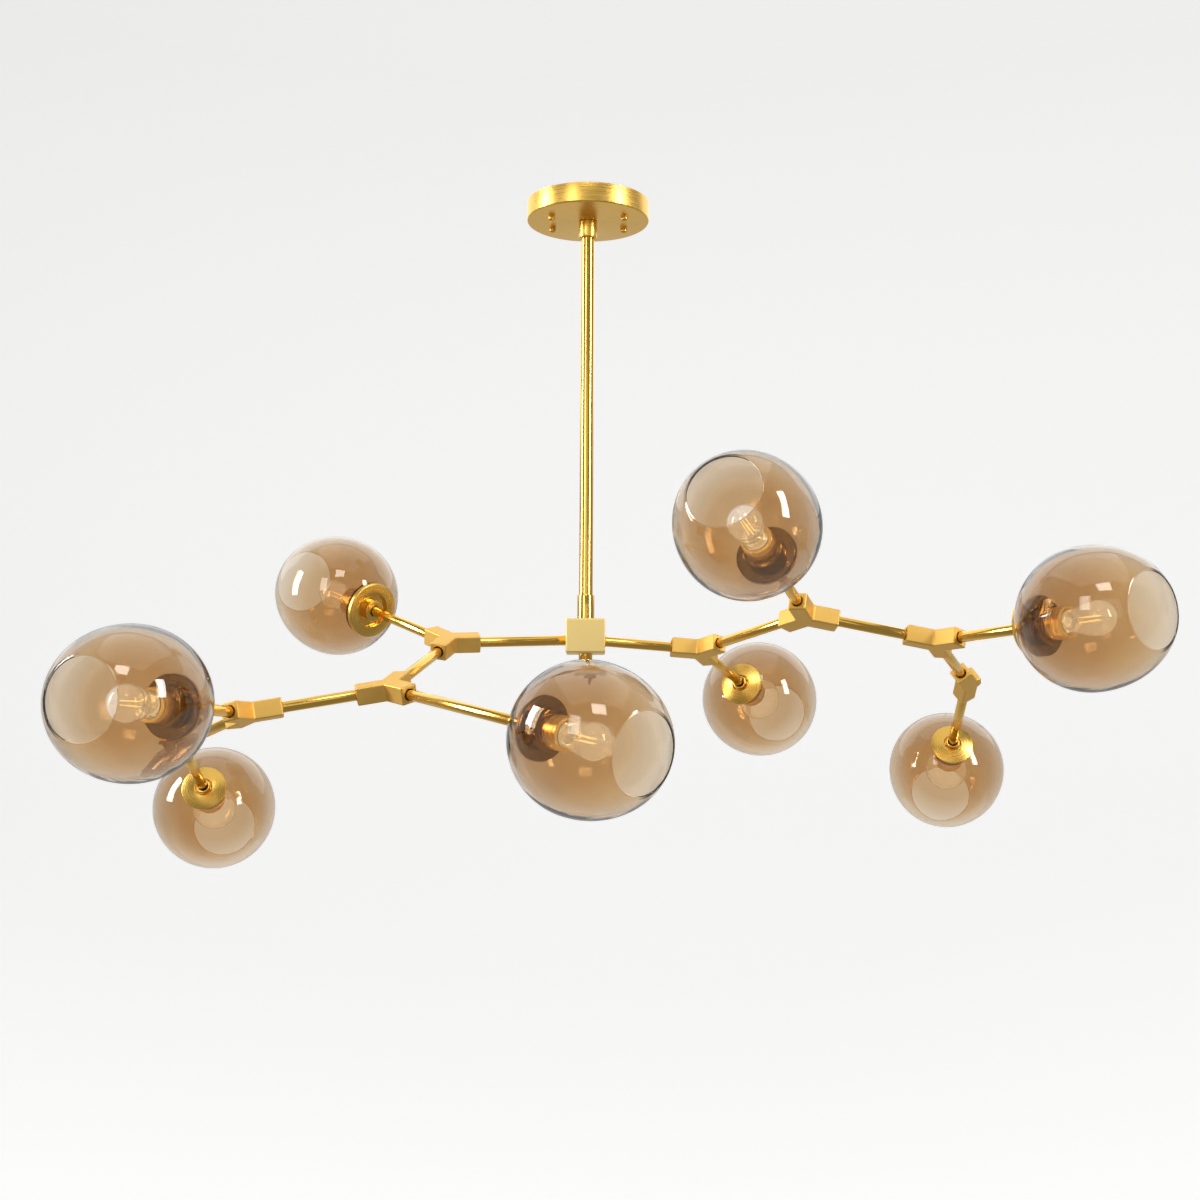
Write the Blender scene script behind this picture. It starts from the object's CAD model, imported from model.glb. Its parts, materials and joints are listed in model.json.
"""Dresses the branch chandelier in satin brass, tinted blown glass and clear filament bulbs."""
import bmesh
import bpy
import json
import math

from mathutils import Matrix, Vector


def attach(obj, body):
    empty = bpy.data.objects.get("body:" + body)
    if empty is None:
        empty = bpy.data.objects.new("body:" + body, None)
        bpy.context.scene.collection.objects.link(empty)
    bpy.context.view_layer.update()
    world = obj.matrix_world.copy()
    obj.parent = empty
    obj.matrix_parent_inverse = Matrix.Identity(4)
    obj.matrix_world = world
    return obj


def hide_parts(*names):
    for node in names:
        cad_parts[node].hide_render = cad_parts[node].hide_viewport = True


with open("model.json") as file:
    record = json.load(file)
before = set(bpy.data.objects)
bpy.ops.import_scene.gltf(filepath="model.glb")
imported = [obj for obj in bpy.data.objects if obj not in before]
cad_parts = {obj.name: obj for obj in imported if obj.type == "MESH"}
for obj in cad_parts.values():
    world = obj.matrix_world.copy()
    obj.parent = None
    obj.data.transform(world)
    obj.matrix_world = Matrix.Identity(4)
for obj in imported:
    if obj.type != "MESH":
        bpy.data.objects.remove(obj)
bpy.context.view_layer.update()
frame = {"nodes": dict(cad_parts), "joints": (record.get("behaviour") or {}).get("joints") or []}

MM = 0.001
UP = Vector((0, 0, 1))
AT_ORIGIN = Matrix.Identity(4)

# Sizes in millimetres. The main ones are those of the CAD model.
# Canopy
CANOPY_RADIUS = 75.0
CANOPY_HEIGHT = 24.0
CANOPY_WALL = 1.5
CANOPY_EDGE = 2.0
CANOPY_BORE = 11.0
NUT_X = 44.5
NUT_Y = 22.0
NUT_RADIUS = 4.25
NUT_SKIRT = 3.0
NUT_HEIGHT = 6.5
COLLAR_RADIUS = 11.25
COLLAR_HEIGHT = 21.0
COLLAR_TOP_EDGE = 0.5
COLLAR_FOOT_EDGE = 1.2

# Stem and hub
STEM_RADIUS = 8.25
STEM_WALL = 1.5
STEM_SEAT = 5.0
SWIVEL_NUT_RADIUS = 13.0
SWIVEL_NUT_HEIGHT = 5.0
SWIVEL_NUT_GAP = 0.3
SLEEVE_RADIUS = 10.25
SLEEVE_HEIGHT = 30.0
HUB_WIDTH = 47.0
HUB_HEIGHT = 41.0
HUB_EDGE = 1.8
HUB_ROD_SEAT = 10.0
ROD_AXIS_BELOW_HUB_MIDDLE = 4.0
CEILING_TO_ROD_AXIS = 541.0
FINIAL_RADIUS = 8.25
FINIAL_COLLAR = 10.0
FINIAL_TIP_RADIUS = 2.5
FINIAL_TIP = 14.0
FINIAL_TIP_EDGE = 0.8

# Rods and joints
ROD_RADIUS = 6.0
ROD_WALL = 1.2
ROD_LIP = 2.0
ROD_EDGE = 0.5
ROD_END_GAP = 0.3
ARM_LENGTH = 36.0
ARM_WIDTH = 20.0
ROD_SEAT = 20.0
ROD_START = ARM_LENGTH - ROD_SEAT
JOINT_EDGE = 1.8
BORE_GAP = 0.7
BORE_DEPTH = 7.0
Y_ANGLES = (-60, 60, 180)
ELBOW_BACK = 14.0
ELBOW_BACK_WIDTH = 16.0

# Shades. Heights are from the middle of the shade towards its mouth.
SHADE_RADIUS = 75.0
SHADE_WALL = 2.5
SHADE_STRETCH = 1.19
SHADE_STEPS = 40
NECK_GAP = 0.5
MOUTH_OFFSET = 75.5
THINNING_FROM = -50.0
LIP_THINNING = 0.72
TINT_FROM = -40.0
TINT_TO = 60.0

# Caps and sockets
RIM_WALL = 1.5
CAP_SEAT_GAP = 0.2
CAP_HUB_HEIGHT = 9.0
CAP_RIM_ROUND = [(0.7, 0.0), (0.2, 0.3), (0.0, 0.8)]
CAP_WAIST = 0.8
CAP_WAIST_FROM = 3.2
CAP_WAIST_TO = 3.6
COUNTERSINK_WIDTH = 0.6
COUNTERSINK_DEPTH = 2.0
DISH_DEPTH = 5.0
DISH_FILLET = 0.6
DISH_LIP = 0.5
DISC_THICKNESS = 2.5
DISC_GAP = 0.3
DISC_RIM = 2.0
DISC_BACK_EDGE = 0.4
DISC_FRONT_EDGE = 0.5
SOCKET_FILLET = 0.6
SOCKET_BASE_RADIUS = 22.0
SOCKET_BASE_HEIGHT = 15.0
SOCKET_BASE_EDGE = 1.2
SOCKET_SLEEVE_RADIUS = 17.5
SOCKET_SLEEVE_EDGE = 0.6
SOCKET_BORE = 13.06
SOCKET_BORE_DEPTH = 26.0
SOCKET_WIRE_HOLE = 4.0
SOCKET_MOUTH = -27.0

# Bulbs. The lists are (radius, height above the top of the screw base).
BULB_TIP = 28.0
BULB_WALL = 0.8
BULB_NECK_RADIUS = 12.5
BULB_SEAT_GAP = 0.3
BULB_CONTACT = [(0.0, -24.0), (5.0, -24.0), (6.0, -22.5), (12.0, -20.0)]
THREAD = [(12.2, 0.0), (12.9, 0.9), (12.9, 1.6), (12.2, 2.5)]
THREAD_FROM = -19.5
THREAD_PITCH = 3.6
THREAD_TURNS = 5
BULB_COLLAR = [(13.0, -1.0), (13.0, 0.0), (0.0, 0.0)]
BULB_STEM = [
    (9.0, 0.0), (8.0, 1.2), (4.0, 4.0), (2.4, 7.0), (1.8, 11.0), (2.2, 11.8), (1.4, 12.6), (0.0, 12.8),
]
FILAMENTS = 4
FILAMENT_RADIUS = 0.5
FILAMENT_LOW = -13.0
FILAMENT_HIGH = 11.0
FILAMENT_SPREAD = 3.6
FILAMENT_LEAN = 0.6
WIRE_RADIUS = 0.22
WIRE_FOOT = 2.0

# Small details that several pieces share
EDGE_BREAK = 0.3
RIM_BREAK = 0.4
CORNER = 1.0
TURNING_GAP = 0.1
FITTED_GAP = 0.02
SHARP_ANGLE = 32.0

# A groove is a (depth, width, slope) cut into a turned face.
NUT_GROOVE = (0.35, -0.85, -0.25)
NUT_GROOVE_FROM = -0.9
DISC_GROOVE = (0.5, 1.4, 0.4)
DISC_GROOVE_FROM = -5.5
SLEEVE_GROOVE = (0.4, 1.1, 0.3)
SLEEVE_GROOVE_FROM = -5.0

# The two kinds of lamp fitting: radii and heights in millimetres, and the bulb's taper in degrees
WIDE = {
    "cap": 34.0, "dish": 23.0, "hub": 13.5, "disc": 33.0, "cap_height": 5.5, "cone": 0.0,
    "bulb": 18.5, "taper": 20.0,
}
NARROW = {
    "cap": 27.0, "dish": 12.0, "hub": 8.5, "disc": 25.0, "cap_height": 2.0, "cone": 4.0,
    "bulb": 27.0, "taper": 35.0,
}
NARROW_LAMPS = ("left_4", "right_1", "right_4")

# The photograph's view: a camera in front of the hub, a little below it, that looks slightly up
PHOTO_SIZE_PX = 1200
FOCAL_LENGTH_PX = 1578.6
SENSOR_MM = 36.0
CAMERA_RIGHT_OF_HUB = 17.1
CAMERA_TO_HUB = 1893.8
CAMERA_BELOW_HUB = 139.8
CAMERA_PITCH = 5.676
CAMERA_ROLL = 0.28

# The studio, in metres
FLOOR_Z = -2.2
ROOM_RADIUS = 4.2
ROOM_BEND = 1.4
ROOM_TOP = 3.4
ROOM_GLOW = 0.56
ROOM_LIGHT = (0.24, 0.235, 0.23, 1)
BACKDROP_LIGHT = (0.56, 0.55, 0.535, 1)
LIT_POINT = Vector((0, 0, -0.45))
PANEL_DISTANCE = 2.4

# The panels: name, bearing from the camera's side (right is positive), height above the horizon, width and
# height as seen from the piece, all in degrees, and radiance
PANELS = [
    ("left_panel", -84, 14, 12, 30, 16.0),
    ("front_left_panel", -28, 16, 12, 24, 4.8),
    ("front_high_panel", 2, 40, 16, 14, 7.0),
    ("front_low_panel", -4, 6, 40, 26, 0.5),
    ("right_panel", 60, 15, 10, 28, 16.0),
    ("top_panel", 0, 82, 64, 64, 0.6),
    ("back_panel", 180, 40, 110, 44, 0.85),
]

JOINTS = {joint["name"]: joint for joint in frame["joints"]}
BRANCHES = [name[len("swivel_"):] for name in JOINTS if name.startswith("swivel_")]


# ---------------------------------------------------------------- places

def axis_frame(origin, z_axis, x_hint=UP):
    """A matrix with Z along z_axis and X as near x_hint as that allows."""
    z = Vector(z_axis).normalized()
    x = Vector(x_hint) - z * Vector(x_hint).dot(z)
    if x.length < 1e-3:
        x = Vector((1, 0, 0)) - z * z.x
    x.normalize()
    y = z.cross(x)
    matrix = Matrix((x, y, z)).transposed().to_4x4()
    matrix.translation = origin
    return matrix


def around(angle):
    """The direction at an angle in degrees in the XY plane."""
    return Vector((math.cos(math.radians(angle)), math.sin(math.radians(angle)), 0))


def branch_facts(name):
    """Where a branch's joint and lamp are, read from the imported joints."""
    swivel = JOINTS["swivel_" + name]
    bulb = JOINTS["unscrew_bulb_" + name]
    side, number = name.rsplit("_", 1)
    following = "%s_%d" % (side, int(number) + 1)
    point = Vector(swivel["pos_m"])
    onward = None
    if following in BRANCHES:
        onward = Vector(JOINTS["swivel_" + following]["pos_m"]) - point
    return {
        "name": name,
        "body": "branch_" + name,
        "point": point,
        "inward": Vector(swivel["axis"]).normalized(),
        "lamp": Vector(bulb["axis"]).normalized(),
        "shade": Vector(bulb["pos_m"]),
        "onward": onward,
        "fitting": NARROW if name in NARROW_LAMPS else WIDE,
    }


# ---------------------------------------------------------------- profiles of (radius, height) points

def arc(middle, radius, start, end, steps):
    """Points of a circle about (r, z), from one angle to another in degrees."""
    turns = [math.radians(start + (end - start) * i / steps) for i in range(steps + 1)]
    return [(middle[0] + radius * math.cos(a), middle[1] + radius * math.sin(a)) for a in turns]


def ease(start, end, steps):
    """Points on a soft S between two profile points, both left out."""
    points = []
    for i in range(1, steps):
        t = i / steps
        s = t * t * (3 - 2 * t)
        points.append((start[0] + (end[0] - start[0]) * s, start[1] + (end[1] - start[1]) * t))
    return points


def round_end(radius, end, inward):
    """The softened corner at an end, with inward as 1 or -1 towards the middle of the piece."""
    return [
        (radius, end + inward * CORNER),
        (radius - EDGE_BREAK, end + inward * EDGE_BREAK),
        (radius - CORNER, end),
    ]


def groove(radius, start, depth, width, slope):
    return [
        (radius, start),
        (radius - depth, start + slope),
        (radius - depth, start + width - slope),
        (radius, start + width),
    ]


def raised(points, height):
    return [(radius, height + z) for radius, z in points]


def capsule(radius, length):
    """A thin bar with round ends."""
    low = arc((0, radius), radius, -90, 0, 3)
    high = arc((0, length - radius), radius, 0, 90, 3)
    low[0] = (0, 0)
    high[-1] = (0, length)
    return low + high


# ---------------------------------------------------------------- meshes

def lathe(name, profile, matrix, closed=False, segments=96):
    """A turned piece: the profile in millimetres swept about Z."""
    mesh = bpy.data.meshes.new(name)
    work = bmesh.new()
    rings = []
    for radius, height in profile:
        if radius < 1e-6:
            rings.append([work.verts.new((0, 0, height * MM))])
            continue
        ring = []
        for i in range(segments):
            a = 2 * math.pi * i / segments
            ring.append(work.verts.new((radius * MM * math.cos(a), radius * MM * math.sin(a), height * MM)))
        rings.append(ring)
    pairs = list(zip(rings, rings[1:]))
    if closed:
        pairs.append((rings[-1], rings[0]))
    for low, high in pairs:
        for i in range(segments):
            j = (i + 1) % segments
            corners = [low[i % len(low)], low[j % len(low)], high[j % len(high)], high[i % len(high)]]
            unique = list(dict.fromkeys(corners))
            if len(unique) > 2:
                work.faces.new(unique)
    bmesh.ops.recalc_face_normals(work, faces=work.faces)
    work.to_mesh(mesh)
    work.free()
    return finished(name, mesh, matrix)


def prism(name, outline, thickness, matrix, edge, bores=()):
    """A thick plate from an outline in its own XY plane, with rounded edges and round bores."""
    mesh = bpy.data.meshes.new(name)
    work = bmesh.new()
    low = [work.verts.new((x * MM, y * MM, -thickness / 2 * MM)) for x, y in outline]
    face = work.faces.new(low)
    lifted = bmesh.ops.extrude_face_region(work, geom=[face])
    verts = [g for g in lifted["geom"] if isinstance(g, bmesh.types.BMVert)]
    bmesh.ops.translate(work, verts=verts, vec=(0, 0, thickness * MM))
    bmesh.ops.recalc_face_normals(work, faces=work.faces)
    bmesh.ops.bevel(
        work, geom=work.edges[:], offset=edge * MM, segments=4, profile=0.5, affect="EDGES",
        clamp_overlap=True)
    work.to_mesh(mesh)
    work.free()
    obj = finished(name, mesh, matrix)
    for start, direction, radius in bores:
        drill(obj, matrix @ axis_frame(start * MM, direction), radius)
    mark_sharp(obj)
    return obj


def drill(obj, matrix, radius):
    """Cuts a round bore that starts just behind the matrix's place and runs out along its Z."""
    behind, ahead = -1, 60
    profile = [(0, behind), (radius, behind), (radius, ahead), (0, ahead)]
    tool = lathe("bore_tool", profile, matrix, segments=48)
    cut = obj.modifiers.new("bore", "BOOLEAN")
    cut.object = tool
    cut.operation = "DIFFERENCE"
    cut.solver = "EXACT"
    bake_modifiers(obj)
    bpy.data.objects.remove(tool)


def bake_modifiers(obj):
    """Replaces an object's mesh with what its modifiers make of it."""
    bpy.context.view_layer.update()
    evaluated = obj.evaluated_get(bpy.context.evaluated_depsgraph_get())
    mesh = bpy.data.meshes.new_from_object(evaluated)
    obj.modifiers.clear()
    obj.data = mesh


def finished(name, mesh, matrix):
    """An object for a mesh, smooth but for its sharp edges."""
    obj = bpy.data.objects.new(name, mesh)
    bpy.context.scene.collection.objects.link(obj)
    obj.matrix_world = matrix
    mark_sharp(obj)
    return obj


def mark_sharp(obj):
    work = bmesh.new()
    work.from_mesh(obj.data)
    for face in work.faces:
        face.smooth = True
    for edge in work.edges:
        edge.smooth = edge.calc_face_angle(0) < math.radians(SHARP_ANGLE)
    work.to_mesh(obj.data)
    work.free()


def keep_flats(obj):
    """Weights the normals by face size, so that flat faces stay flat beside their rounded edges."""
    weighted = obj.modifiers.new("flat_faces", "WEIGHTED_NORMAL")
    weighted.keep_sharp = True
    weighted.weight = 80
    return obj


def dress(obj, body, material, replaces=()):
    """Gives a piece its material, the body that it rides on and the CAD nodes that it stands for."""
    obj.data.materials.clear()
    obj.data.materials.append(material)
    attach(obj, body)
    if replaces:
        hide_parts(*replaces)
    return obj


def rod(name, start, end, body, replaces=()):
    """A tube with a small round at each end, along its own Z."""
    length = (end - start).length / MM
    soft = ROD_EDGE * 0.3
    near = [
        (ROD_RADIUS - ROD_WALL, ROD_LIP), (ROD_RADIUS - ROD_WALL, 0.0), (ROD_RADIUS - ROD_EDGE, 0.0),
        (ROD_RADIUS - soft, soft), (ROD_RADIUS, ROD_EDGE),
    ]
    far = [(radius, length - z) for radius, z in reversed(near)]
    obj = lathe(name, near + far, axis_frame(start, end - start), segments=64)
    dress(obj, body, TUBE_BRASS, replaces)


# ---------------------------------------------------------------- materials

EVEN = (1, 1, 1)
CLOUD_ROUGHNESS = 0.6
METAL_RELIEF = 0.0002
BLACK = (0, 0, 0)
WHITE = (1, 1, 1)


def node_material(name):
    material = bpy.data.materials.new(name)
    material.use_nodes = True
    tree = material.node_tree
    return material, tree, tree.nodes["Principled BSDF"]


def link(tree, a, out, b, into):
    tree.links.new(a.outputs[out], b.inputs[into])


def texture_space(tree, scale):
    """The object's own coordinates, stretched by a scale."""
    source = tree.nodes.new("ShaderNodeTexCoord")
    mapping = tree.nodes.new("ShaderNodeMapping")
    mapping.inputs["Scale"].default_value = scale
    link(tree, source, "Object", mapping, "Vector")
    return mapping


def noise(tree, space, scale, detail, rough):
    node = tree.nodes.new("ShaderNodeTexNoise")
    node.inputs["Scale"].default_value = scale
    node.inputs["Detail"].default_value = detail
    node.inputs["Roughness"].default_value = rough
    link(tree, space, "Vector", node, "Vector")
    return node


def ramp(tree, source, stops, out="Fac"):
    """A colour ramp over a node's output, from (position, colour) stops."""
    node = tree.nodes.new("ShaderNodeValToRGB")
    elements = node.color_ramp.elements
    while len(elements) < len(stops):
        elements.new(0.5)
    for element, (position, colour) in zip(elements, stops):
        element.position = position
        element.color = colour if len(colour) == 4 else (*colour, 1)
    link(tree, source, out, node, "Fac")
    return node


def span(tree, source, low, high, out="Fac", from_low=0.3, from_high=0.7):
    """Stretches a node's output between two values."""
    node = tree.nodes.new("ShaderNodeMapRange")
    node.inputs["From Min"].default_value = from_low
    node.inputs["From Max"].default_value = from_high
    node.inputs["To Min"].default_value = low
    node.inputs["To Max"].default_value = high
    link(tree, source, out, node, "Value")
    return node


def blend(tree, amount, first, second):
    """Mixes a node's colour towards a plain one."""
    node = tree.nodes.new("ShaderNodeMixRGB")
    node.inputs["Color2"].default_value = (*second, 1)
    link(tree, amount, "Color", node, "Fac")
    link(tree, first, "Color", node, "Color1")
    return node


def relief(tree, shader, source, out, strength, depth):
    node = tree.nodes.new("ShaderNodeBump")
    node.inputs["Strength"].default_value = strength
    node.inputs["Distance"].default_value = depth
    link(tree, source, out, node, "Height")
    link(tree, node, "Normal", shader, "Normal")


def metal(tree, shader, streaks, clouds, share, stops, rough, bump):
    """Metal whose colour and roughness follow fine streaks under a share of broad cloudy handling marks."""
    mixed = tree.nodes.new("ShaderNodeMixRGB")
    mixed.inputs["Fac"].default_value = share
    link(tree, streaks, "Fac", mixed, "Color1")
    link(tree, clouds, "Fac", mixed, "Color2")
    link(tree, ramp(tree, mixed, stops, "Color"), "Color", shader, "Base Color")
    link(tree, span(tree, mixed, *rough, "Color"), "Result", shader, "Roughness")
    relief(tree, shader, streaks, "Fac", bump, METAL_RELIEF)
    shader.inputs["Metallic"].default_value = 1.0


def brushed_metal(name, light, dark, rough, brush, brush_scale, bump):
    """Brushed metal, with its streaks stretched by the brush scale."""
    material, tree, shader = node_material(name)
    streaks = noise(tree, texture_space(tree, brush), brush_scale, 3.0, 0.6)
    clouds = noise(tree, texture_space(tree, EVEN), 34.0, 5.0, CLOUD_ROUGHNESS)
    stops = [(0.32, dark), (0.62, light)]
    metal(tree, shader, streaks, clouds, 0.35, stops, (rough * 0.8, rough * 1.25), bump)
    return material


def turned_metal(name, light, dark, rough, fan):
    """Metal brushed round its own Z axis: the streaks follow radius and height, and the shine fans out."""
    material, tree, shader = node_material(name)
    source = tree.nodes.new("ShaderNodeTexCoord")
    parts = tree.nodes.new("ShaderNodeSeparateXYZ")
    flat = tree.nodes.new("ShaderNodeCombineXYZ")
    length = tree.nodes.new("ShaderNodeVectorMath")
    length.operation = "LENGTH"
    place = tree.nodes.new("ShaderNodeCombineXYZ")
    link(tree, source, "Object", parts, "Vector")
    link(tree, parts, "X", flat, "X")
    link(tree, parts, "Y", flat, "Y")
    link(tree, flat, "Vector", length, "Vector")
    link(tree, length, "Value", place, "X")
    link(tree, parts, "Z", place, "Y")
    streaks = noise(tree, place, 1500.0, 3.0, 0.65)
    clouds = noise(tree, texture_space(tree, EVEN), 40.0, 5.0, CLOUD_ROUGHNESS)
    stops = [(0.3, dark), (0.65, light)]
    metal(tree, shader, streaks, clouds, 0.3, stops, (rough * 0.8, rough * 1.3), 0.05)
    round_axis = tree.nodes.new("ShaderNodeTangent")
    round_axis.direction_type = "RADIAL"
    round_axis.axis = "Z"
    link(tree, round_axis, "Tangent", shader, "Tangent")
    shader.inputs["Anisotropic"].default_value = fan
    return material


def tinted_glass(name, neck, mouth, pale, edge, ior, wave, wave_scale, ripple, glow=0.0):
    """Blown glass with waves. Its tint thins towards the mouth, and pales where the wall is seen on edge."""
    material, tree, shader = node_material(name)
    source = tree.nodes.new("ShaderNodeTexCoord")
    parts = tree.nodes.new("ShaderNodeSeparateXYZ")
    link(tree, source, "Object", parts, "Vector")
    along = span(tree, parts, 0.0, 1.0, "Z", TINT_FROM * MM, TINT_TO * MM)
    drift = span(tree, noise(tree, texture_space(tree, EVEN), 9.0, 2.0, 0.5), -0.12, 0.12)
    drifted = tree.nodes.new("ShaderNodeMath")
    drifted.operation = "ADD"
    link(tree, along, "Result", drifted, 0)
    link(tree, drift, "Result", drifted, 1)
    colour = ramp(tree, drifted, [(0.0, neck), (1.0, mouth)], "Value")
    facing = tree.nodes.new("ShaderNodeLayerWeight")
    facing.inputs["Blend"].default_value = 0.5
    body_part = ramp(tree, facing, [(0.15, BLACK), (0.58, WHITE)], "Facing")
    edge_part = ramp(tree, facing, [(0.90, BLACK), (0.98, WHITE)], "Facing")
    towards_pale = blend(tree, body_part, colour, pale)
    towards_edge = blend(tree, edge_part, towards_pale, edge)
    link(tree, towards_edge, "Color", shader, "Base Color")
    swell = noise(tree, texture_space(tree, (1, 1, 0.6)), wave_scale, 2.0, 0.45)
    ripples = noise(tree, texture_space(tree, (1, 1, 0.35)), wave_scale * 3.5, 2.0, 0.5)
    height = tree.nodes.new("ShaderNodeMath")
    height.operation = "MULTIPLY_ADD"
    height.inputs[1].default_value = ripple
    link(tree, ripples, "Fac", height, 0)
    link(tree, swell, "Fac", height, 2)
    relief(tree, shader, height, "Value", 1.0, wave)
    shader.inputs["Roughness"].default_value = 0.0
    shader.inputs["Transmission Weight"].default_value = 1.0
    shader.inputs["IOR"].default_value = ior
    shader.inputs["Emission Color"].default_value = (0.80, 0.90, 1.0, 1)
    shader.inputs["Emission Strength"].default_value = glow
    return material


def glowing(name, colour, strength):
    """A filament's coating: amber with small grains, lit from within."""
    material, tree, shader = node_material(name)
    grains = noise(tree, texture_space(tree, EVEN), 1500.0, 2.0, 0.6)
    shades = ramp(tree, grains, [(0.35, [c * 0.7 for c in colour]), (0.65, colour)])
    link(tree, shades, "Color", shader, "Base Color")
    link(tree, shades, "Color", shader, "Emission Color")
    shader.inputs["Emission Strength"].default_value = strength
    shader.inputs["Roughness"].default_value = 0.5
    return material


BRASS_LIGHT = (0.95, 0.60, 0.14)
BRASS_DARK = (0.88, 0.53, 0.10)
ALONG_X = (0.03, 1, 1)
ALONG_Z = (1, 1, 0.03)
ALONG_TUBE = (1, 1, 0.004)
ALONG_PLATE = (0.05, 1, 1)
TUBE_BRASS = brushed_metal("tube_brass", BRASS_LIGHT, BRASS_DARK, 0.15, ALONG_TUBE, 700.0, 0.01)
TURNED_BRASS = turned_metal("turned_brass", BRASS_LIGHT, BRASS_DARK, 0.26, 0.6)
JOINT_BRASS = brushed_metal("joint_brass", (0.93, 0.61, 0.17), (0.88, 0.55, 0.13), 0.54, ALONG_X, 900.0, 0.05)
BLOCK_BRASS = brushed_metal("block_brass", (1.0, 0.79, 0.33), (1.0, 0.75, 0.30), 0.50, ALONG_Z, 900.0, 0.05)
SLEEVE_BRASS = turned_metal("sleeve_brass", (0.86, 0.68, 0.36), (0.76, 0.58, 0.28), 0.26, 0.4)
DISC_BRASS = turned_metal("disc_brass", (0.26, 0.16, 0.055), (0.16, 0.10, 0.03), 0.10, 0.3)
STEEL = brushed_metal("zinc_steel", (0.66, 0.67, 0.68), (0.50, 0.51, 0.53), 0.42, ALONG_PLATE, 900.0, 0.05)
PALE_METAL = turned_metal("pale_metal", (0.86, 0.86, 0.84), (0.66, 0.66, 0.64), 0.22, 0.0)
AMBER_GLASS = tinted_glass(
    "amber_glass", neck=(0.56, 0.365, 0.19), mouth=(0.81, 0.635, 0.40), pale=(0.80, 0.745, 0.69),
    edge=(0.66, 0.54, 0.42), ior=1.52, wave=0.0016, wave_scale=11.0, ripple=0.16)
BULB_GLASS = tinted_glass(
    "bulb_glass", neck=(0.97, 0.965, 0.94), mouth=(0.99, 0.985, 0.97), pale=(0.96, 0.95, 0.93),
    edge=(0.40, 0.38, 0.34), ior=1.5, wave=0.0002, wave_scale=16.0, ripple=0.1, glow=0.07)
FILAMENT = glowing("filament", (1.0, 0.72, 0.30), 1.3)


# ---------------------------------------------------------------- canopy, stem and hub

def canopy():
    """The cover with its four cap nuts, and the collar that the stem turns in."""
    outer = CANOPY_RADIUS
    inner = outer - CANOPY_WALL
    floor = -CANOPY_HEIGHT
    shelf = floor + CANOPY_WALL
    profile = [(CANOPY_BORE, floor), (outer - CANOPY_EDGE, floor)]
    profile += arc((outer - CANOPY_EDGE, floor + CANOPY_EDGE), CANOPY_EDGE, -75, 0, 5)
    profile += [(outer, -RIM_BREAK), (outer - RIM_BREAK, 0.0)]
    profile += [(inner + EDGE_BREAK, 0.0), (inner, -EDGE_BREAK)]
    profile += [(inner, shelf + CORNER), (inner - CORNER, shelf), (CANOPY_BORE, shelf)]
    cover = lathe("canopy_cover_dressed", profile, AT_ORIGIN, closed=True, segments=160)
    dress(cover, "ceiling", TURNED_BRASS, ["canopy_cover"])
    places = [(x, y) for x in (-NUT_X, NUT_X) for y in (-NUT_Y, NUT_Y)]
    for number, (x, y) in enumerate(places, 1):
        nut = cap_nut("cap_nut_%d" % number, Vector((x, y, floor)) * MM)
        dress(nut, "ceiling", TURNED_BRASS, ["cap_nuts"] if number == 1 else [])
    foot = floor - COLLAR_HEIGHT
    profile = [
        (STEM_RADIUS + TURNING_GAP, floor), (COLLAR_RADIUS - COLLAR_TOP_EDGE, floor),
        (COLLAR_RADIUS, floor - COLLAR_TOP_EDGE), (COLLAR_RADIUS, foot + COLLAR_FOOT_EDGE),
        (COLLAR_RADIUS - RIM_BREAK, foot + RIM_BREAK), (COLLAR_RADIUS - COLLAR_FOOT_EDGE, foot),
        (STEM_RADIUS + TURNING_GAP, foot),
    ]
    collar = lathe("canopy_collar_dressed", profile, AT_ORIGIN, closed=True)
    dress(collar, "ceiling", TURNED_BRASS, ["canopy_collar"])


def cap_nut(name, place):
    """A domed nut that hangs under the canopy, with a grip groove round its skirt."""
    dome = NUT_HEIGHT - NUT_SKIRT
    profile = [(0, 0), (NUT_RADIUS, 0)] + groove(NUT_RADIUS, NUT_GROOVE_FROM, *NUT_GROOVE)
    profile += [(NUT_RADIUS, -NUT_SKIRT)]
    for angle in range(15, 90, 15):
        a = math.radians(angle)
        profile.append((NUT_RADIUS * math.cos(a), -NUT_SKIRT - dome * math.sin(a)))
    profile += [(0, -NUT_HEIGHT)]
    return lathe(name, profile, Matrix.Translation(place), segments=48)


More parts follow.
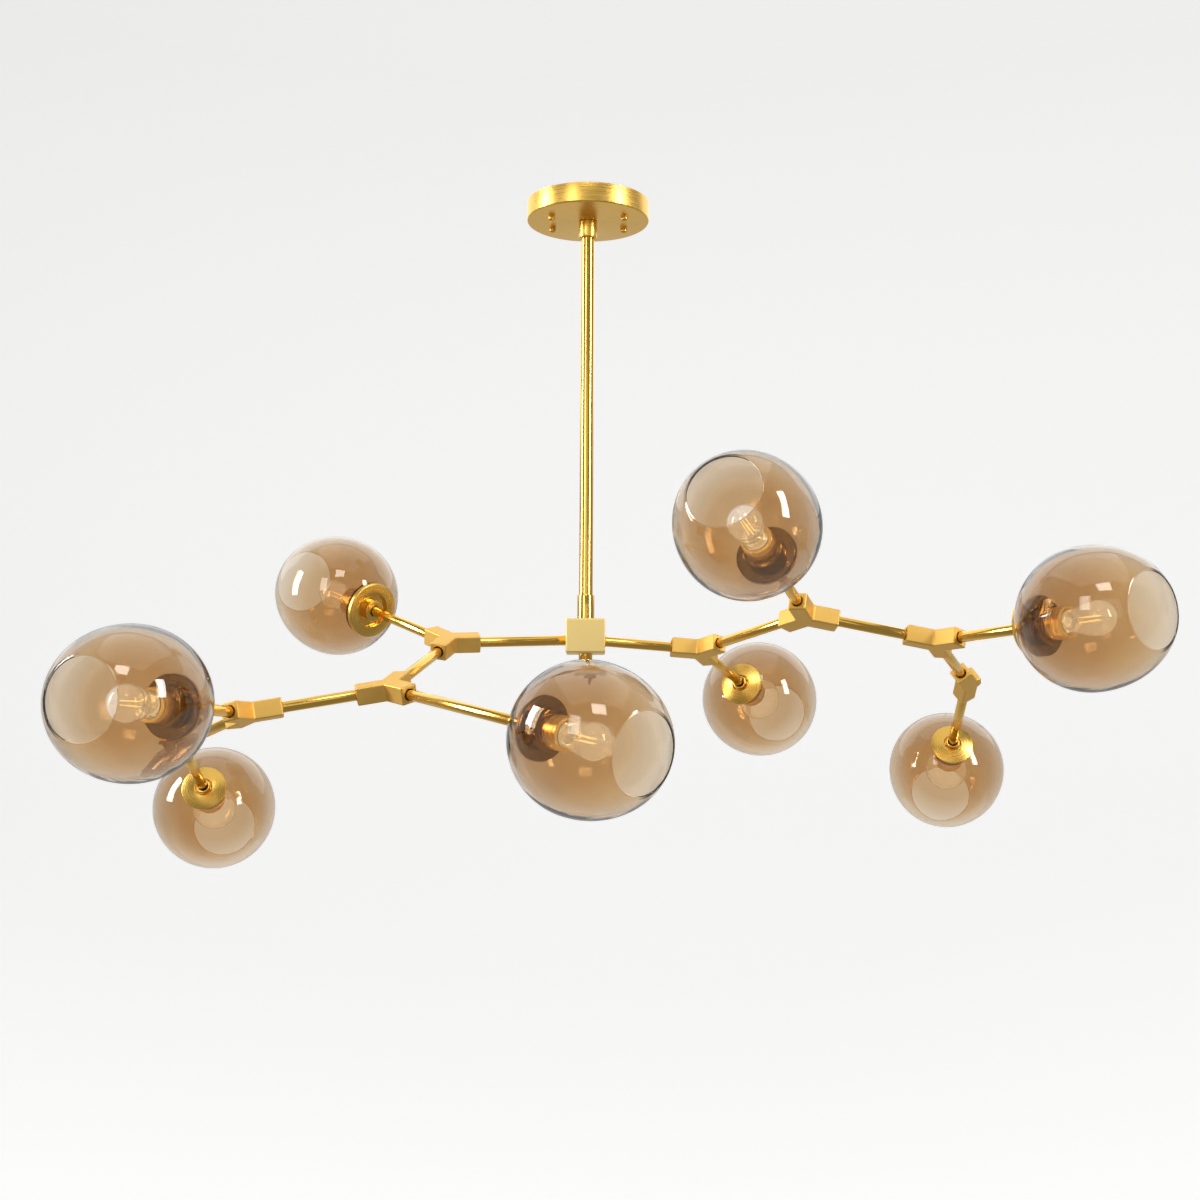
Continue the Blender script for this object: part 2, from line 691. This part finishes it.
def stem_and_hub():
    """The stem with its nut and sleeve, the hub block with its finial, and the two rods out of the block."""
    hub_middle = ROD_AXIS_BELOW_HUB_MIDDLE - CEILING_TO_ROD_AXIS
    top = hub_middle + HUB_HEIGHT / 2
    bottom = hub_middle - HUB_HEIGHT / 2
    nut_low = CANOPY_WALL + SWIVEL_NUT_GAP - CANOPY_HEIGHT
    nut_top = nut_low + SWIVEL_NUT_HEIGHT
    bore = STEM_RADIUS - STEM_WALL
    profile = [
        (bore, top - STEM_SEAT), (STEM_RADIUS, top - STEM_SEAT), (STEM_RADIUS, nut_low),
        (SWIVEL_NUT_RADIUS, nut_low), (SWIVEL_NUT_RADIUS, nut_top), (bore, nut_top),
    ]
    stem = lathe("stem_tube_dressed", profile, AT_ORIGIN, closed=True)
    dress(stem, "hub", TUBE_BRASS, ["stem_tube"])
    sleeve_top = top + SLEEVE_HEIGHT
    profile = [(STEM_RADIUS + FITTED_GAP, top), (SLEEVE_RADIUS, top)]
    profile += round_end(SLEEVE_RADIUS, sleeve_top, -1) + [(STEM_RADIUS + FITTED_GAP, sleeve_top)]
    sleeve = lathe("stem_sleeve_dressed", profile, AT_ORIGIN, closed=True)
    dress(sleeve, "hub", TUBE_BRASS, ["stem_sleeve"])
    half = HUB_WIDTH / 2
    outline = [(-half, -half), (half, -half), (half, half), (-half, half)]
    place = Matrix.Translation((0, 0, hub_middle * MM))
    block = prism("hub_block_dressed", outline, HUB_HEIGHT, place, HUB_EDGE)
    dress(keep_flats(block), "hub", BLOCK_BRASS, ["hub_block"])
    low = bottom - FINIAL_COLLAR
    profile = [(0, bottom), (FINIAL_RADIUS, bottom)] + round_end(FINIAL_RADIUS, low, 1)
    profile += [
        (FINIAL_TIP_RADIUS, low), (FINIAL_TIP_RADIUS / 2, low - FINIAL_TIP + FINIAL_TIP_EDGE),
        (FINIAL_TIP_RADIUS / 4, low - FINIAL_TIP), (0, low - FINIAL_TIP),
    ]
    finial = lathe("hub_finial_dressed", profile, AT_ORIGIN)
    dress(finial, "hub", TUBE_BRASS, ["hub_finial"])
    crossing = Vector((0, 0, -CEILING_TO_ROD_AXIS)) * MM
    for side in ("left", "right"):
        facts = branch_facts(side + "_1")
        start = crossing + facts["inward"] * (half - HUB_ROD_SEAT) * MM
        end = facts["point"] - facts["inward"] * (ROD_START + ROD_END_GAP) * MM
        rod("hub_rod_" + side, start, end, "hub", ["hub_rods"] if side == "left" else [])


# ---------------------------------------------------------------- joints and rods

def arm_outline(arms):
    """The outline round arms that leave the middle, each as (angle in degrees, length, end width)."""
    points = []
    half = ARM_WIDTH / 2
    for (angle, length, end_width), (following, _, _) in zip(arms, arms[1:] + arms[:1]):
        along = around(angle)
        left = Vector((-along.y, along.x, 0))
        for side in (-1, 1):
            corner = along * length + left * (side * end_width / 2)
            points.append((corner.x, corner.y))
        gap = math.radians((following - angle) % 360)
        notch = along * (half / math.tan(gap / 2)) + left * half
        points.append((notch.x, notch.y))
    return points


def joint(facts):
    """A Y joint or an elbow, and the rods that it holds."""
    name, body, point = facts["name"], facts["body"], facts["point"]
    inward, lamp, onward = facts["inward"], facts["lamp"], facts["onward"]
    across = (lamp - inward * lamp.dot(inward)).normalized()
    if onward is None:
        bend = math.degrees(inward.angle(lamp))
        ends = (bend, 180)
        arms = [(bend / 2 - 90, ELBOW_BACK, ELBOW_BACK_WIDTH)]
        node = "elbow_" + name
    else:
        across = -across
        ends = Y_ANGLES
        arms = []
        node = "y_joint_" + name
    arms += [(angle, ARM_LENGTH, ARM_WIDTH) for angle in ends]
    bores = [
        (around(angle) * (ARM_LENGTH - BORE_DEPTH), around(angle), ROD_RADIUS + BORE_GAP) for angle in ends
    ]
    place = axis_frame(point, inward.cross(across), inward)
    block = prism(node + "_dressed", arm_outline(arms), ARM_WIDTH, place, JOINT_EDGE, bores)
    dress(keep_flats(block), body, JOINT_BRASS, [node])
    reach = (facts["shade"] - point).length / MM
    lamp_end = point + lamp * (reach - dish_floor(facts["fitting"])) * MM
    rod("lamp_rod_" + name, point + lamp * ROD_START * MM, lamp_end, body, ["rods_" + name])
    if onward is not None:
        direction = onward.normalized()
        link_end = point + onward - direction * (ROD_START + ROD_END_GAP) * MM
        rod("link_rod_" + name, point + direction * ROD_START * MM, link_end, body)


# ---------------------------------------------------------------- lamps

def depth(radius, sphere):
    """How far from its middle a sphere has this radius."""
    return math.sqrt(sphere ** 2 - radius ** 2)


def cap_seat(fitting):
    return depth(fitting["cap"] - RIM_WALL, SHADE_RADIUS) + CAP_SEAT_GAP + fitting["cap_height"]


def dish_floor(fitting):
    return cap_seat(fitting) + fitting["cone"] - DISH_DEPTH


def shade_skin(radius, neck):
    """One skin from the neck to the mouth: a sphere behind and a longer ellipse in front."""
    stretch = SHADE_RADIUS * SHADE_STRETCH - (SHADE_RADIUS - radius)
    start = -math.degrees(math.acos(neck / radius))
    points = arc((0, 0), radius, start, 0, SHADE_STEPS)
    last = math.asin(MOUTH_OFFSET / stretch)
    for i in range(1, SHADE_STEPS + 1):
        a = last * i / SHADE_STEPS
        points.append((radius * math.cos(a), stretch * math.sin(a)))
    return points


def shade(facts, place):
    """A blown shade. Its wall thins towards a fire-rounded lip."""
    neck = facts["fitting"]["dish"] + NECK_GAP
    outer = shade_skin(SHADE_RADIUS, neck)
    inner = shade_skin(SHADE_RADIUS - SHADE_WALL, neck)
    for i, ((r_out, z_out), (r_in, z_in)) in enumerate(zip(outer, inner)):
        t = min(1.0, max(0.0, (z_in - THINNING_FROM) / (MOUTH_OFFSET - THINNING_FROM)))
        thin = LIP_THINNING * t * t * (3 - 2 * t)
        inner[i] = (r_in + (r_out - r_in) * thin, z_in + (z_out - z_in) * thin)
    rim_out, rim_in = outer[-1][0], inner[-1][0]
    half = (rim_out - rim_in) / 2
    lip = arc(((rim_out + rim_in) / 2, MOUTH_OFFSET - half), half, 0, 180, 8)
    profile = outer[:-1] + lip + inner[-2::-1]
    piece = lathe("shade_glass_" + facts["name"], profile, place, closed=True, segments=128)
    dress(piece, facts["body"], AMBER_GLASS, ["shade_" + facts["name"]])


def cap(facts, place):
    """The dished or coned cap with its hub, and the neck of it that goes through the shade."""
    fitting = facts["fitting"]
    outer, dish, hub = fitting["cap"], fitting["dish"], fitting["hub"]
    seat = -cap_seat(fitting)
    crown = seat - fitting["cone"]
    floor = -dish_floor(fitting)
    hub_top = floor - CAP_HUB_HEIGHT
    rim_low = seat + fitting["cap_height"]
    neck_low = -depth(dish + NECK_GAP, SHADE_RADIUS) - EDGE_BREAK
    inner = -depth(fitting["disc"], SHADE_RADIUS - SHADE_WALL) + CAP_SEAT_GAP
    wall = dish - RIM_WALL
    waist = hub - CAP_WAIST
    bore = ROD_RADIUS + TURNING_GAP
    profile = [(bore, hub_top + COUNTERSINK_DEPTH), (ROD_RADIUS + COUNTERSINK_WIDTH, hub_top)]
    profile += round_end(hub, hub_top, 1)[::-1]
    profile += [(hub, hub_top + CAP_WAIST_FROM), (waist, hub_top + CAP_WAIST_TO), (waist, floor)]
    profile += [(wall - DISH_FILLET, floor), (wall, floor - DISH_FILLET)]
    profile += [(wall, crown + DISH_LIP), (wall + DISH_LIP, crown)]
    profile += [(outer - inset, seat + drop) for inset, drop in CAP_RIM_ROUND]
    profile += [(outer, rim_low), (outer - RIM_WALL, rim_low), (dish, neck_low), (dish, inner), (bore, inner)]
    piece = lathe("cap_dressed_" + facts["name"], profile, place, closed=True)
    dress(piece, facts["body"], TURNED_BRASS, ["cap_" + facts["name"]])


def socket(facts, place):
    """The polished clamping disc with its base, and the satin sleeve that holds the bulb."""
    disc = facts["fitting"]["disc"]
    back = -depth(disc, SHADE_RADIUS - SHADE_WALL) + DISC_GAP
    front = back + DISC_THICKNESS
    base = min(SOCKET_BASE_RADIUS, disc - DISC_RIM)
    step = back + SOCKET_BASE_HEIGHT
    floor = SOCKET_MOUTH - SOCKET_BORE_DEPTH
    profile = [
        (SOCKET_WIRE_HOLE, back), (disc - DISC_BACK_EDGE, back), (disc, back + DISC_BACK_EDGE),
        (disc, front - DISC_FRONT_EDGE), (disc - DISC_FRONT_EDGE, front),
        (base + SOCKET_FILLET, front), (base, front + SOCKET_FILLET),
    ]
    profile += groove(base, step + DISC_GROOVE_FROM, *DISC_GROOVE)
    profile += [
        (base, step - SOCKET_BASE_EDGE), (base - EDGE_BREAK, step - RIM_BREAK),
        (base - SOCKET_BASE_EDGE, step), (SOCKET_BORE, step),
        (SOCKET_BORE, floor), (SOCKET_WIRE_HOLE, floor),
    ]
    piece = lathe("socket_disc_" + facts["name"], profile, place, closed=True)
    dress(piece, facts["body"], DISC_BRASS, ["socket_" + facts["name"]])
    edge = SOCKET_SLEEVE_EDGE
    profile = [(SOCKET_BORE, step + FITTED_GAP), (SOCKET_SLEEVE_RADIUS, step + FITTED_GAP)]
    profile += groove(SOCKET_SLEEVE_RADIUS, SOCKET_MOUTH + SLEEVE_GROOVE_FROM, *SLEEVE_GROOVE)
    profile += [
        (SOCKET_SLEEVE_RADIUS, SOCKET_MOUTH - edge), (SOCKET_SLEEVE_RADIUS - edge, SOCKET_MOUTH),
        (SOCKET_BORE + edge, SOCKET_MOUTH), (SOCKET_BORE, SOCKET_MOUTH - edge),
    ]
    sleeve = lathe("socket_sleeve_" + facts["name"], profile, place, closed=True)
    dress(sleeve, facts["body"], SLEEVE_BRASS)


def bulb(facts, place):
    """A clear bulb: a thin envelope, its screw base, a glass stem and four lit filaments."""
    name = facts["name"]
    body = "lamp_bulb_" + name
    shoulder = SOCKET_MOUTH + BULB_SEAT_GAP
    envelope = lathe("bulb_glass_" + name, envelope_profile(facts["fitting"], shoulder), place, closed=True)
    dress(envelope, body, BULB_GLASS, ["bulb_" + name])
    threads = raised(BULB_CONTACT, shoulder)
    for i in range(THREAD_TURNS):
        threads += raised(THREAD, shoulder + THREAD_FROM + i * THREAD_PITCH)
    threads += raised(BULB_COLLAR, shoulder)
    dress(lathe("bulb_base_" + name, threads, place), body, PALE_METAL)
    stem = lathe("bulb_stem_" + name, raised(BULB_STEM, shoulder), place, segments=48)
    dress(stem, body, PALE_METAL)
    foot = place @ (Vector((0, 0, FILAMENT_LOW - WIRE_FOOT)) * MM)
    for i in range(FILAMENTS):
        out = around(45 + 90 * i)
        start = place @ (Vector((0, 0, FILAMENT_LOW)) * MM + out * FILAMENT_SPREAD * MM)
        end = place @ (Vector((0, 0, FILAMENT_HIGH)) * MM + out * (FILAMENT_SPREAD - FILAMENT_LEAN) * MM)
        strand("filament_%d_%s" % (i + 1, name), start, end, FILAMENT_RADIUS, 16, body, FILAMENT)
        strand("lead_wire_%d_%s" % (i + 1, name), foot, start, WIRE_RADIUS, 12, body, PALE_METAL)


def envelope_profile(fitting, shoulder):
    """The bulb's glass: a neck that eases into a globe, outside and then inside."""
    radius, taper = fitting["bulb"], fitting["taper"]
    middle = BULB_TIP - radius
    neck = BULB_NECK_RADIUS
    low, high = shoulder - 2, shoulder + 1
    globe = arc((0, middle), radius, -taper, 90, 30)
    outer = [(neck - 0.6, low), (neck - 0.2, high)] + ease((neck - 0.2, high), globe[0], 6) + globe
    inner = arc((0, middle), radius - BULB_WALL, 90, -taper, 30)
    inner += ease(inner[-1], (neck - 1.0, high), 6) + [(neck - 1.4, low)]
    outer[-1] = (0, BULB_TIP)
    inner[0] = (0, BULB_TIP - BULB_WALL)
    return outer + inner


def strand(name, start, end, radius, segments, body, material):
    """A filament or wire between two places."""
    run = end - start
    piece = lathe(name, capsule(radius, run.length / MM), axis_frame(start, run), segments=segments)
    dress(piece, body, material)


# ---------------------------------------------------------------- stage

def studio():
    """A pale round studio that the camera sees, and soft panels that light the piece."""
    low = FLOOR_Z + ROOM_BEND
    rows = [(0.0, FLOOR_Z), (ROOM_RADIUS - ROOM_BEND, FLOOR_Z)]
    rows += arc((ROOM_RADIUS - ROOM_BEND, low), ROOM_BEND, -90, 0, 12)[1:]
    rows += [
        (ROOM_RADIUS, ROOM_TOP - ROOM_BEND), (ROOM_RADIUS - ROOM_BEND * 0.5, ROOM_TOP - ROOM_BEND * 0.3),
        (0.0, ROOM_TOP),
    ]
    room = lathe("pale_studio", [(r / MM, z / MM) for r, z in rows], AT_ORIGIN)
    room.data.materials.append(paper())
    room.visible_glossy = False
    room.visible_diffuse = False
    room.visible_shadow = False
    bpy.context.scene.world = soft_world()
    for row in PANELS:
        panel(*row)
    bpy.context.scene.view_settings.view_transform = "Standard"


def paper():
    """The studio's pale paper, with an even glow of its own."""
    material, tree, shader = node_material("pale_paper")
    grain = noise(tree, texture_space(tree, EVEN), 60.0, 3.0, 0.5)
    grey = ramp(tree, grain, [(0.3, (0.80, 0.80, 0.80)), (0.7, (0.82, 0.82, 0.82))])
    link(tree, grey, "Color", shader, "Base Color")
    shader.inputs["Roughness"].default_value = 0.95
    shader.inputs["Specular IOR Level"].default_value = 0.0
    shader.inputs["Emission Color"].default_value = (1, 1, 1, 1)
    shader.inputs["Emission Strength"].default_value = ROOM_GLOW
    return material


def soft_world():
    """A grey world that is lighter towards the backdrop, on the +Y side."""
    world = bpy.data.worlds.new("soft_grey")
    world.use_nodes = True
    tree = world.node_tree
    direction = tree.nodes.new("ShaderNodeTexCoord")
    parts = tree.nodes.new("ShaderNodeSeparateXYZ")
    link(tree, direction, "Generated", parts, "Vector")
    backward = span(tree, parts, 0.0, 1.0, "Y", 0.2, 0.75)
    light = ramp(tree, backward, [(0.0, ROOM_LIGHT), (1.0, BACKDROP_LIGHT)], "Result")
    link(tree, light, "Color", tree.nodes["Background"], "Color")
    return world


def panel(name, bearing, elevation, width, height, radiance):
    """A soft panel at a bearing from the camera's side, that shows as wide and high as given in degrees."""
    across, up = (2 * PANEL_DISTANCE * math.tan(math.radians(v / 2)) for v in (width, height))
    light = bpy.data.lights.new(name, "AREA")
    light.shape = "RECTANGLE"
    light.size, light.size_y = across, up
    light.energy = radiance * math.pi * across * up
    obj = bpy.data.objects.new(name, light)
    bpy.context.scene.collection.objects.link(obj)
    a, e = math.radians(bearing), math.radians(elevation)
    out = Vector((math.sin(a) * math.cos(e), -math.cos(a) * math.cos(e), math.sin(e)))
    obj.location = LIT_POINT + out * PANEL_DISTANCE
    obj.rotation_euler = (-out).to_track_quat("-Z", "Y").to_euler()
    obj.visible_camera = False
    obj.visible_transmission = name != "back_panel"


def camera():
    """A camera that frames the piece as the photograph does."""
    data = bpy.data.cameras.new("photo_camera")
    data.sensor_width = SENSOR_MM
    data.lens = FOCAL_LENGTH_PX / PHOTO_SIZE_PX * SENSOR_MM
    obj = bpy.data.objects.new("photo_camera", data)
    bpy.context.scene.collection.objects.link(obj)
    place = Vector((CAMERA_RIGHT_OF_HUB, -CAMERA_TO_HUB, -CEILING_TO_ROD_AXIS - CAMERA_BELOW_HUB)) * MM
    pitch = Matrix.Rotation(math.radians(90 + CAMERA_PITCH), 4, "X")
    roll = Matrix.Rotation(math.radians(CAMERA_ROLL), 4, "Z")
    obj.matrix_world = Matrix.Translation(place) @ pitch @ roll
    bpy.context.scene.camera = obj


# ---------------------------------------------------------------- the whole piece

canopy()
stem_and_hub()
for branch in BRANCHES:
    facts = branch_facts(branch)
    place = axis_frame(facts["shade"], facts["lamp"])
    joint(facts)
    shade(facts, place)
    cap(facts, place)
    socket(facts, place)
    bulb(facts, place)
for node in ("mounting_plate", "canopy_studs"):
    frame["nodes"][node].data.materials.clear()
    frame["nodes"][node].data.materials.append(STEEL)
studio()
camera()
